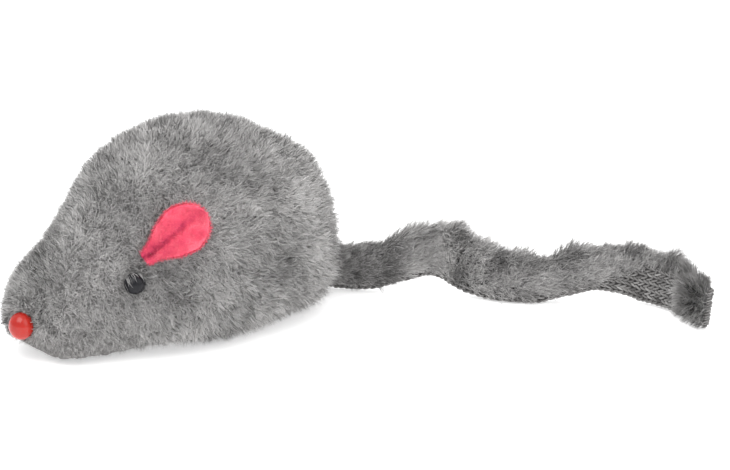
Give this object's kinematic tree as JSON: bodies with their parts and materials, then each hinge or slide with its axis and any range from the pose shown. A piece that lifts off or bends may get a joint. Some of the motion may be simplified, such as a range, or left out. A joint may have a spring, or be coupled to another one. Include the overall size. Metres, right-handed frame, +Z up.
{
  "type": "clockwork mouse",
  "caption": "Grey plush mouse over a hard shell, with felt ears, bead eyes and nose, a wavy plush tail, and a key-wound motor driving two wheels.",
  "frame": {"origin": "on the floor, on the mouse's mid-plane, straight below the drive axle", "axes": "+Y from nose to tail, +X to the mouse's left side, +Z up"},
  "size_m": [0.0967, 0.138, 0.046],
  "materials": {
    "grey_plush": "short grey pile on a knitted backing",
    "pink_felt": "matt pressed felt",
    "black_bead": "polished black",
    "red_bead": "polished red",
    "grey_thread": "waxed thread",
    "shell_plastic": "moulded grey plastic",
    "base_plastic": "moulded black plastic with a fine grain",
    "zinc_steel": "zinc plated steel",
    "frame_steel": "stamped steel",
    "spring_steel": "blued spring steel",
    "gear_brass": "stamped brass",
    "gear_nylon": "natural nylon",
    "axle_steel": "drawn steel",
    "key_steel": "nickel plated steel",
    "wheel_plastic": "moulded black plastic",
    "front_plastic": "moulded black plastic",
    "tyre_rubber": "matt black rubber"
  },
  "bodies": {
    "mouse": {"plush_cover": "grey_plush", "body_shell": "shell_plastic", "base_plate": "base_plastic", "base_screws": "zinc_steel", "left_ear": "pink_felt", "right_ear": "pink_felt", "left_eye": "black_bead", "right_eye": "black_bead", "nose_bead": "red_bead", "tail_stitch": "grey_thread", "motor_frame_left": "frame_steel", "motor_frame_right": "frame_steel", "frame_pillars": "frame_steel", "motor_screws": "zinc_steel", "mainspring": "spring_steel", "front_axle": "axle_steel"},
    "great": {"great_wheel": "gear_brass", "click_rivet": "zinc_steel", "click_spring": "spring_steel"},
    "click": {"click_pawl": "spring_steel"},
    "winder": {"winding_arbor": "axle_steel", "ratchet_wheel": "axle_steel", "winding_key": "key_steel"},
    "second": {"second_arbor": "axle_steel", "second_gear": "gear_nylon"},
    "drive": {"drive_axle": "axle_steel", "drive_pinion": "gear_brass", "left_wheel": "wheel_plastic", "right_wheel": "wheel_plastic", "left_tyre": "tyre_rubber", "right_tyre": "tyre_rubber"},
    "front": {"front_wheel": "front_plastic"},
    "tail": {"tail": "grey_plush"}
  },
  "joints": [
    {"name": "great_wheel_turn", "type": "hinge", "parent": "mouse", "child": "great", "pos_m": [0, 0.003, 0.02343], "axis": [1, 0, 0], "continuous": true},
    {"name": "key_wind", "type": "hinge", "parent": "great", "child": "winder", "pos_m": [0, 0.003, 0.02343], "axis": [-1, 0, 0], "range_deg": [0, 1440]},
    {"name": "click_lift", "type": "hinge", "parent": "great", "child": "click", "pos_m": [0, 0.00491, 0.03058], "axis": [1, 0, 0], "range_deg": [0, 14], "stiffness_Nm_per_rad": 0.0001, "springref_deg": -5.73},
    {"name": "second_gear_turn", "type": "hinge", "parent": "mouse", "child": "second", "pos_m": [0, -0.0095, 0.01628], "axis": [1, 0, 0], "continuous": true},
    {"name": "drive_axle_turn", "type": "hinge", "parent": "mouse", "child": "drive", "pos_m": [0, 0, 0.008], "axis": [1, 0, 0], "continuous": true},
    {"name": "front_wheel_turn", "type": "hinge", "parent": "mouse", "child": "front", "pos_m": [0, -0.027, 0.005], "axis": [1, 0, 0], "continuous": true},
    {"name": "tail_swing", "type": "hinge", "parent": "mouse", "child": "tail", "pos_m": [0, 0.0336, 0.006], "axis": [0, 0, 1], "range_deg": [-15, 90]}
  ],
  "couplings": [
    {"joint": "second_gear_turn", "follows": "great_wheel_turn", "ratio": -3},
    {"joint": "drive_axle_turn", "follows": "great_wheel_turn", "ratio": 7.5}
  ]
}
